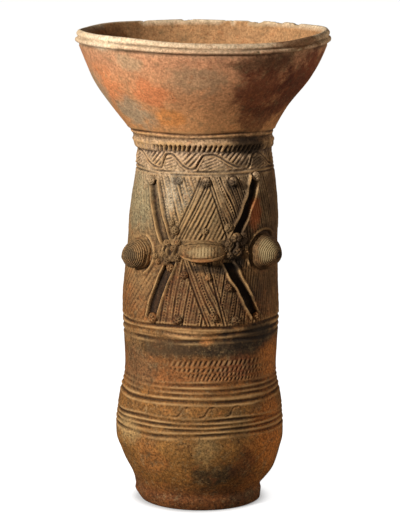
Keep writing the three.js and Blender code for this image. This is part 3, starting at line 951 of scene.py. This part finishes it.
def eye():
    """The lens with its ticked face, the thin lid over it and the heavy lid under it."""
    deselect_all()
    bpy.ops.mesh.primitive_uv_sphere_add(segments=110, ring_count=64, radius=1)
    piece = named(bpy.context.object, "eye_boss")
    ball = unit_points(piece)
    share = ball[:, 0]
    along = share * EYE_HALF_LENGTH
    fullness = np.maximum(1 - share**2, 0) ** 0.72
    round_place = np.arctan2(ball[:, 1], np.maximum(ball[:, 2], -0.2) + 0.2)
    up_share = round_place / (math.pi / 2 + 0.35)
    up = np.clip(up_share, -1, 1) * 12
    out = np.interp(up, EYE_SECTION_AT, EYE_SECTION)
    lens = band(up, -4.8, 5.4, 0.5) * band(along, -13, 15, 2)
    ticks = np.exp(-((stripes(along, TICK_PITCH) / 0.55) ** 2))
    out = (out + 3) * fullness - 3 - TICK_DEPTH * ticks * lens
    out = np.where(ball[:, 2] < -0.2, -WALL / 2, out)
    points = np.stack([along, up * (0.12 + 0.88 * fullness), out], 1)
    set_points(piece, points)
    wrap_on_shaft(piece, EYE_ANGLE, EYE_Z)
    close_up(piece)
    mark_hollows_and_ridges(piece, 0.3)
    return piece


# Shader nodes
def clay_colour(code):
    """A colour written as six hex digits, as the shader needs it."""
    parts = [int(code[i:i + 2], 16) / 255 for i in (0, 2, 4)]
    linear = [p / 12.92 if p <= 0.04045 else ((p + 0.055) / 1.055) ** 2.4 for p in parts]
    return (*linear, 1)


def put(tree, kind, settings=None, **inputs):
    """Adds a node. An input is a socket to join, or a value; _0, _1 are inputs by number."""
    node = tree.nodes.new(kind)
    for name, value in (settings or {}).items():
        setattr(node, name, value)
    for name, value in inputs.items():
        socket = node.inputs[int(name[1:]) if name[0] == "_" else name]
        if isinstance(value, bpy.types.NodeSocket):
            tree.links.new(value, socket)
        else:
            socket.default_value = value
    return node


def sums(tree, operation, *values):
    """A Math node's result."""
    inputs = {f"_{number}": value for number, value in enumerate(values)}
    return put(tree, "ShaderNodeMath", {"operation": operation}, **inputs).outputs[0]


def vectors(tree, operation, **inputs):
    """A Vector Math node's results."""
    return put(tree, "ShaderNodeVectorMath", {"operation": operation}, **inputs).outputs


def eased(tree, value, low, high, start=0.0, end=1.0):
    """A value mapped from low..high to start..end, eased at both ends."""
    settings = {"interpolation_type": "SMOOTHSTEP"}
    limits = {"From Min": low, "From Max": high, "To Min": start, "To Max": end}
    return put(tree, "ShaderNodeMapRange", settings, Value=value, **limits).outputs["Result"]


def noise(tree, place, size, detail=4.0, roughness=0.55, stretch=None):
    """Noise whose features are so many millimetres wide, on places in millimetres."""
    if stretch:
        place = put(tree, "ShaderNodeMapping", Vector=place, Scale=stretch).outputs[0]
    sizes = {"Scale": 1 / size, "Detail": detail, "Roughness": roughness}
    return put(tree, "ShaderNodeTexNoise", Vector=place, **sizes).outputs["Fac"]


def over(tree, below, colour, mask):
    """One colour laid over another where the mask says."""
    node = put(tree, "ShaderNodeMix", {"data_type": "RGBA"}, Factor=mask, _6=below, _7=colour)
    return node.outputs[2]


def new_group(name, ins, outs):
    """An empty shader group with named sockets."""
    group = bpy.data.node_groups.new(name, "ShaderNodeTree")
    for direction, sockets in (("INPUT", ins), ("OUTPUT", outs)):
        for socket, kind in sockets:
            group.interface.new_socket(socket, in_out=direction, socket_type=f"NodeSocket{kind}")
    inner = group.nodes.new("NodeGroupInput")
    outer = group.nodes.new("NodeGroupOutput")
    return group, inner.outputs, outer.inputs


def patch_group():
    """A patch about a centre, with a ragged edge: its mask."""
    ins = [("Place", "Vector"), ("Centre", "Vector"), ("Reach", "Vector"), ("Ragged", "Float")]
    group, given, made = new_group("patch_tree", ins, [("Mask", "Float")])
    away = vectors(group, "SUBTRACT", _0=given["Place"], _1=given["Centre"])[0]
    share = vectors(group, "DIVIDE", _0=away, _1=given["Reach"])[0]
    length = vectors(group, "LENGTH", _0=share)["Value"]
    ragged = sums(group, "ADD", length, given["Ragged"])
    group.links.new(eased(group, ragged, 1.25, 0.55), made["Mask"])
    return group


def grain_group():
    """Low-fired clay close up: grit, pits and smoothing marks, as a height and a tone."""
    outs = [(name, "Float") for name in ("Height", "Tone", "Pits", "Blotch", "Flecks")]
    group, given, made = new_group("clay_grain", [("Place", "Vector")], outs)
    place = given["Place"]
    grit = noise(group, place, 1.0, 4, 0.7)
    body = noise(group, place, 2.5, 5, 0.7)
    marks = noise(group, place, 5.5, 3, 0.5, stretch=(0.35, 0.35, 2.6))
    cells = put(group, "ShaderNodeTexVoronoi", Vector=place, Scale=1 / 4.2)
    specks = noise(group, place, 7, 2)
    deep = eased(group, cells.outputs["Distance"], 0.20, 0.06)
    pits = sums(group, "MULTIPLY", deep, eased(group, specks, 0.52, 0.64))
    height = sums(group, "MULTIPLY_ADD", grit, 0.25, sums(group, "MULTIPLY", body, 0.8))
    height = sums(group, "MULTIPLY_ADD", marks, 0.35, height)
    height = sums(group, "MULTIPLY_ADD", pits, -0.9, height)
    tone = sums(group, "MULTIPLY_ADD", grit, 0.4, sums(group, "MULTIPLY", body, 0.6))
    group.links.new(height, made["Height"])
    group.links.new(tone, made["Tone"])
    group.links.new(pits, made["Pits"])
    group.links.new(noise(group, place, 26, 6, 0.6), made["Blotch"])
    group.links.new(eased(group, noise(group, place, 2.3, 2, 0.5), 0.62, 0.72), made["Flecks"])
    return group


# The clay's colour by height: at the foot, belly, waist, shaft, neck, bowl and lip
COLOUR_BY_HEIGHT = [
    (0, "6c401d"), (14, "683c1b"), (30, "784d1f"), (62, "845a2a"), (90, "7e5528"),
    (112, "805426"), (128, "824f26"), (146, "7a4c25"), (154, "553c20"), (164, "573b1e"),
    (172, "7c532a"), (200, "794c28"), (240, "82603a"), (290, "8c7350"), (325, "b39675"),
    (340, "be9f80"), (352, "b8946e"), (360, "c88c58"), (430, "c28862"), (436, "bb8c68"),
    (440, "d6b692"), (450, "e6cba6"),
]

# Stains, with painted shade and highlight among them: middle as angle, height and radius, reach in mm
# along, in and up, colour, strength
STAINS_WITH_PAINTED_LIGHT = [
    # the bowl
    (-62, 402, 100, (28, 28, 22), "d88654", 0.8),
    (-30, 398, 98, (22, 20, 14), "e2824e", 0.6),
    (-22, 374, 82, (18, 16, 10), "e08c44", 0.6),
    (-50, 378, 84, (26, 24, 18), "a39478", 0.7),
    (-78, 396, 96, (14, 26, 30), "a89a7c", 0.6),
    (-38, 426, 112, (44, 14, 8), "b79c78", 0.6),
    (-4, 412, 106, (30, 20, 15), "a08362", 0.6),
    # The bowl's right side is deeper red-brown and darker under the lip: partly the clay's colour and soot,
    # partly painted shade
    (32, 426, 112, (48, 24, 10), "5a3b25", 0.85),
    (34, 398, 98, (30, 30, 34), "74361f", 0.8),
    (62, 400, 98, (40, 36, 42), "602a17", 0.9),
    (66, 420, 112, (18, 24, 14), "8a4628", 0.55),
    (42, 371, 80, (26, 22, 16), "6b3a22", 0.7),
    (19, 405, 97, (1.6, 3, 4), "d8c0a0", 0.8),
    # the neck and the shaft
    # The collar on the right is darkened: partly the clay's colour, partly painted shade under the bowl
    (46, 351, 65, (30, 30, 6), "6a4427", 0.75),
    (-62, 292, 70, (22, 30, 26), "8d8263", 0.7),
    (-27, 303, 70, (18, 12, 20), "c2b59c", 0.55),
    (44, 283, 70, (8, 8, 16), "b5592a", 0.7),
    # Darker down the right of the shaft: partly the clay's colour, partly painted shade
    (76, 280, 68, (30, 30, 60), "5f3c22", 0.7),
    (-50, 214, 72, (20, 16, 22), "85623c", 0.6),
    (-14, 206, 73, (34, 14, 32), "58331a", 0.9),
    (20, 206, 73, (26, 14, 32), "4a2e18", 0.85),
    (24, 292, 70, (14, 12, 28), "553c28", 0.65),
    (40, 214, 73, (12, 12, 14), "3a2a1c", 0.7),
    # the smoked band and what is below it
    (28, 160, 73, (52, 30, 9), "3f3122", 0.85),
    (50, 169, 73, (26, 34, 12), "2e2318", 0.8),
    (-66, 160, 70, (24, 24, 9), "8a6338", 0.8),
    (-12, 173, 73, (20, 12, 4), "c0905e", 0.6),
    (64, 142, 72, (24, 28, 20), "bc7434", 0.85),
    (2, 166, 73, (8, 9, 5), "d18a4c", 0.7),
    (-58, 138, 73, (26, 28, 26), "6c5034", 0.6),
    (30, 140, 72, (30, 14, 12), "7c4128", 0.6),
    (-54, 92, 79, (26, 24, 11), "6c4824", 0.5),
    (-62, 76, 80, (18, 22, 15), "aa8a5a", 0.65),
    (-40, 52, 78, (22, 20, 18), "9d6230", 0.6),
    (56, 68, 80, (36, 30, 42), "c27530", 0.85),
    (52, 20, 64, (22, 24, 16), "9c6029", 0.7),
    (22, 86, 78, (20, 14, 14), "5a4526", 0.55),
    (2, 62, 80, (12, 12, 20), "8d7146", 0.6),
    (9, 36, 74, (22, 16, 13), "3f301b", 0.83),
    (32, 44, 76, (16, 16, 18), "6c3d1f", 0.6),
    (48, 9, 61, (26, 22, 8), "4d3520", 0.75),
    # the lip
    # The lip is paler on the left, partly a painted highlight, and darker on the right, partly painted
    # shade
    (-50, 446, 118, (60, 24, 9), "f2dab8", 0.6),
    (50, 445, 118, (52, 30, 9), "83532c", 0.8),
]

# Smoke and other patches over everything, worn ridges too, with painted shadows and shade among them
SMOKE_AND_PAINTED_SHADOWS = [
    # Painted shadow under the eye, and under its right end
    (9, 234, 72, (24, 10, 5), "20170e", 0.75),
    (26, 240, 72, (12, 12, 9), "16100b", 0.9),
    (24, 256, 72, (13, 10, 10), "2a1e14", 0.6),
    (-24, 247, 72, (10, 10, 9), "2c2016", 0.35),
    (30, 290, 71, (12, 14, 34), "352417", 0.6),
    (22, 311, 70, (8, 10, 7), "20180f", 0.7),
    (1, 313, 70, (8, 8, 5), "2a2016", 0.7),
    (-22, 314, 70, (5, 8, 5), "30261c", 0.6),
    # Darker down the right side: partly smoke, partly painted shade
    (60, 255, 72, (30, 34, 80), "3c2614", 0.45),
    (42, 168, 73, (36, 30, 12), "1f160f", 0.75),
    (-30, 157, 73, (34, 20, 8), "4a3622", 0.5),
    # Painted shade over the left boss
    (-56, 244, 80, (13, 16, 13), "453b2b", 0.6),
    # Painted shadow on the cord and under it, on the right
    (40, 345, 66, (30, 26, 10), "20160e", 0.85),
    (42, 331, 66, (22, 22, 5), "2a1d12", 0.55),
    (44, 283, 71, (8, 9, 16), "b5602c", 0.45),
    (46, 251, 84, (10, 10, 12), "a8936a", 0.8),
    (53, 244, 90, (5, 5, 5), "1d150d", 0.9),
    (0, 251, 82, (17, 7, 6), "b59a6e", 0.75),
    (2, 242, 82, (19, 8, 4), "a86c3c", 0.6),
]

# The soot colour also paints shade in the cord's notches and round the pellets.
SOOT_COLOUR = clay_colour("180f07")
# The hollow colour is the dirt and painted shade in hollows, and the dirt in pits.
HOLLOW_COLOUR = clay_colour("2b1a0d")
# The ridge colour is the wear and painted highlight on ridges, and the grit's flecks.
RIDGE_COLOUR = clay_colour("c49a66")
GREY_COLOUR = clay_colour("7c6848")
WARM_COLOUR = clay_colour("ab6232")
BREAK_COLOUR = clay_colour("d2b48c")
INSIDE_COLOUR = clay_colour("b28458")
INSIDE_DARK_COLOUR = clay_colour("7d5632")

# How much of the mottling and grit the burnished bowl keeps, how strongly flecks, the dirt and painted
# shade in hollows and the dirt in pits show, and how deep in millimetres and how strong the bump is
BOWL_MOTTLING = 0.55
BOWL_GRIT = 0.28
FLECKS_SHOWN = 0.32
SHADE_AND_DIRT_IN_HOLLOWS = 0.88
DIRT_IN_PITS = 0.7
BUMP_DEPTH = 0.85
BUMP_STRENGTH = 0.85
CLAY_SHINE = 0.22


def colour_by_height(tree, place, wobble):
    z = put(tree, "ShaderNodeSeparateXYZ", Vector=place).outputs["Z"]
    level = sums(tree, "MULTIPLY_ADD", sums(tree, "SUBTRACT", wobble, 0.5), 9.0, z)
    share = sums(tree, "DIVIDE", level, TOP)
    node = put(tree, "ShaderNodeValToRGB", Fac=share)
    stops = node.color_ramp.elements
    stops[0].position, stops[0].color = 0, clay_colour(COLOUR_BY_HEIGHT[0][1])
    stops[1].position, stops[1].color = 1, clay_colour(COLOUR_BY_HEIGHT[-1][1])
    for z_at, code in COLOUR_BY_HEIGHT[1:-1]:
        stops.new(z_at / TOP).color = clay_colour(code)
    return node.outputs["Color"]


def fired_clay():
    """The clay's material: colour by height, stains and smoke with painted light and shade among them,
    mottling, soot with painted shade in notches and round pellets, dirt and painted shade in hollows,
    wear and painted highlight on ridges, and a gritty bump.
    """
    material = bpy.data.materials.new("fired_clay")
    material.use_nodes = True
    tree = material.node_tree
    tree.nodes.clear()
    coordinates = put(tree, "ShaderNodeTexCoord").outputs["Object"]
    place = vectors(tree, "SCALE", _0=coordinates, Scale=1 / MM)[0]
    grain = put(tree, "ShaderNodeGroup", {"node_tree": grain_group()}, Place=place).outputs
    ragged = noise(tree, place, 15, 7, 0.68)
    spread = sums(tree, "MULTIPLY_ADD", ragged, 2.2, -1.1)
    patch_tree = patch_group()

    def patched_over(colour, patches):
        for angle, z, radius, reach, code, strength in patches:
            turn = math.radians(angle)
            centre = (radius * math.sin(turn), -radius * math.cos(turn), z)
            given = {"Place": place, "Centre": centre, "Reach": reach, "Ragged": spread}
            patch = put(tree, "ShaderNodeGroup", {"node_tree": patch_tree}, **given)
            mask = sums(tree, "MULTIPLY", patch.outputs["Mask"], strength)
            colour = over(tree, colour, clay_colour(code), mask)
        return colour

    colour = patched_over(colour_by_height(tree, place, grain["Blotch"]), STAINS_WITH_PAINTED_LIGHT)

    attribute = {
        name: put(tree, "ShaderNodeAttribute", {"attribute_name": name}).outputs["Fac"]
        for name in ("hollow", "ridge", "soot_and_shade", "inside", "broken")
    }
    colour = over(tree, colour, INSIDE_COLOUR, attribute["inside"])
    dark = eased(tree, grain["Blotch"], 0.5, 0.7, 0, 0.6)
    colour = over(tree, colour, INSIDE_DARK_COLOUR, sums(tree, "MULTIPLY", attribute["inside"], dark))

    fine_ragged = noise(tree, place, 8, 7, 0.72)
    colour = over(tree, colour, GREY_COLOUR, eased(tree, fine_ragged, 0.52, 0.66, 0, 0.5))
    colour = over(tree, colour, WARM_COLOUR, eased(tree, fine_ragged, 0.46, 0.34, 0, 0.3))
    mottle = eased(tree, grain["Tone"], 0.36, 0.66, 0.32, 1.7)
    patchy = eased(tree, ragged, 0.3, 0.7, 0.75, 1.25)
    up = put(tree, "ShaderNodeSeparateXYZ", Vector=place).outputs["Z"]
    mottling = eased(tree, up, bowl_z - 4, bowl_z + 4, 1, BOWL_MOTTLING)
    uneven = sums(tree, "SUBTRACT", sums(tree, "MULTIPLY", mottle, patchy), 1)
    tone = sums(tree, "MULTIPLY_ADD", uneven, mottling, 1)
    toned = vectors(tree, "SCALE", _0=colour, Scale=tone)[0]
    flecks = sums(tree, "MULTIPLY", grain["Flecks"], FLECKS_SHOWN)
    colour = over(tree, toned, RIDGE_COLOUR, flecks)

    # Ridges are lightened for wear and painted highlight.
    worn_and_highlit = sums(tree, "MULTIPLY", attribute["ridge"], eased(tree, grain["Blotch"], 0.35, 0.6, 0.3, 0.85))
    colour = over(tree, colour, RIDGE_COLOUR, worn_and_highlit)
    # Hollows are darkened for dirt and painted shade, and pits in the grain for dirt.
    dirt_and_shade = sums(tree, "MULTIPLY", attribute["hollow"], SHADE_AND_DIRT_IN_HOLLOWS)
    dirt_and_shade = sums(tree, "MAXIMUM", dirt_and_shade, sums(tree, "MULTIPLY", grain["Pits"], DIRT_IN_PITS))
    colour = over(tree, colour, HOLLOW_COLOUR, dirt_and_shade)
    colour = over(tree, colour, BREAK_COLOUR, attribute["broken"])
    # Smoke patches go on last, with painted shadows and shade among them.
    colour = patched_over(colour, SMOKE_AND_PAINTED_SHADOWS)
    thin = eased(tree, fine_ragged, 0.4, 0.62, 0.95, 0.7)
    # Soot in the troughs, and painted shade in the cord's notches and round the pellets.
    colour = over(tree, colour, SOOT_COLOUR, sums(tree, "MULTIPLY", attribute["soot_and_shade"], thin))

    grit = eased(tree, up, bowl_z - 2, bowl_z + 4, 1, BOWL_GRIT)
    rough = sums(tree, "MULTIPLY", grain["Height"], grit)
    height = sums(tree, "MULTIPLY_ADD", attribute["hollow"], -0.4, rough)
    bump = put(tree, "ShaderNodeBump", Height=height, Distance=BUMP_DEPTH * MM, Strength=BUMP_STRENGTH)
    gloss = eased(tree, grain["Tone"], 0.3, 0.7, 0.9, 0.66)
    finish = {"Base Color": colour, "Roughness": gloss, "Specular IOR Level": CLAY_SHINE}
    shader = put(tree, "ShaderNodeBsdfPrincipled", Normal=bump.outputs["Normal"], **finish)
    put(tree, "ShaderNodeOutputMaterial", Surface=shader.outputs["BSDF"])
    return material


def dress(piece, material, replaces=False):
    piece.data.materials.clear()
    piece.data.materials.append(material)
    take(piece)
    bpy.ops.object.shade_smooth()
    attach(piece, "root")
    if replaces:
        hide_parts("vase")


# The floor, the light and the camera
CAMERA_AT = (-0.0031, -2.4, 0.64)
CAMERA_AIM = (-0.0031, 0.0, 0.227)
CAMERA_LENS = 175.0
FLOOR_BOUNCE = (0.16, 0.15, 0.14, 1)
FLOOR_SEEN = (0.4, 0.4, 0.4, 1)
FLOOR_GLOW = 0.98
# How dark the painted contact shadow round the vase is, and how far it reaches
FLOOR_CONTACT = 0.3
CONTACT_REACH = 0.018
SKY_LIGHT = 0.07

# Lights: name, place, what it is aimed at, size in metres, watts and colour
LIGHTS = [
    ("key", (-1.6, -1.5, 1.15), (0, 0, 0.26), 0.35, 72, (1, 0.98, 0.95)),
    ("edge", (1.7, 0.2, 0.1), (0, 0, 0.12), 0.5, 11, (1, 0.84, 0.66)),
    ("fill", (0.4, -2.3, 0.7), (0, 0, 0.25), 1.2, 4, (1, 0.92, 0.84)),
]


def look_at(thing, place, aim):
    thing.location = place
    thing.rotation_euler = (Vector(aim) - Vector(place)).to_track_quat("-Z", "Y").to_euler()


def floor():
    deselect_all()
    bpy.ops.mesh.primitive_circle_add(vertices=96, radius=14, fill_type="NGON", location=(0, 0, 0))
    ground = bpy.context.object
    ground.name = "floor"
    material = bpy.data.materials.new("pale_floor")
    material.use_nodes = True
    tree = material.node_tree
    shader = tree.nodes["Principled BSDF"]
    seen = put(tree, "ShaderNodeLightPath").outputs["Is Camera Ray"]
    bounce = put(tree, "ShaderNodeRGB").outputs[0]
    bounce.default_value = FLOOR_BOUNCE
    tree.links.new(over(tree, bounce, FLOOR_SEEN, seen), shader.inputs["Base Color"])
    shader.inputs["Roughness"].default_value = 0.95
    shader.inputs["Emission Color"].default_value = (1, 1, 1, 1)
    # The floor's glow is dimmed near the vase by ambient occlusion: a painted contact shadow.
    open_air = put(tree, "ShaderNodeAmbientOcclusion", {"samples": 8}, Distance=CONTACT_REACH)
    glow = eased(tree, open_air.outputs["AO"], 0.3, 0.95, FLOOR_CONTACT, FLOOR_GLOW)
    tree.links.new(sums(tree, "MULTIPLY", seen, glow), shader.inputs["Emission Strength"])
    ground.data.materials.append(material)


def area_light(name, place, aim, size, watts, colour):
    data = bpy.data.lights.new(name, "AREA")
    data.shape = "DISK"
    data.size = size
    data.energy = watts
    data.color = colour
    light = bpy.data.objects.new(name, data)
    bpy.context.scene.collection.objects.link(light)
    look_at(light, place, aim)


def studio():
    floor()
    for light in LIGHTS:
        area_light(*light)
    world = bpy.data.worlds.new("pale")
    world.use_nodes = True
    tree = world.node_tree
    tree.nodes.clear()
    seen = put(tree, "ShaderNodeLightPath").outputs["Is Camera Ray"]
    strength = sums(tree, "MULTIPLY_ADD", seen, 1 - SKY_LIGHT, SKY_LIGHT)
    background = put(tree, "ShaderNodeBackground", Color=(1, 1, 1, 1), Strength=strength)
    put(tree, "ShaderNodeOutputWorld", Surface=background.outputs[0])
    bpy.context.scene.world = world
    bpy.context.scene.view_settings.view_transform = "Standard"


def camera():
    data = bpy.data.cameras.new("camera")
    data.lens = CAMERA_LENS
    data.sensor_width = 36
    seen_from = bpy.data.objects.new("camera", data)
    bpy.context.scene.collection.objects.link(seen_from)
    look_at(seen_from, CAMERA_AT, CAMERA_AIM)
    bpy.context.scene.camera = seen_from


camera()
studio()
clay = fired_clay()
dress(carved_wall(), clay, replaces=True)
dress(pellets(), clay)
dress(eye(), clay)
for side, boss in zip(("left", "right"), BOSSES):
    dress(coiled_boss(f"coiled_boss_{side}", *boss), clay)
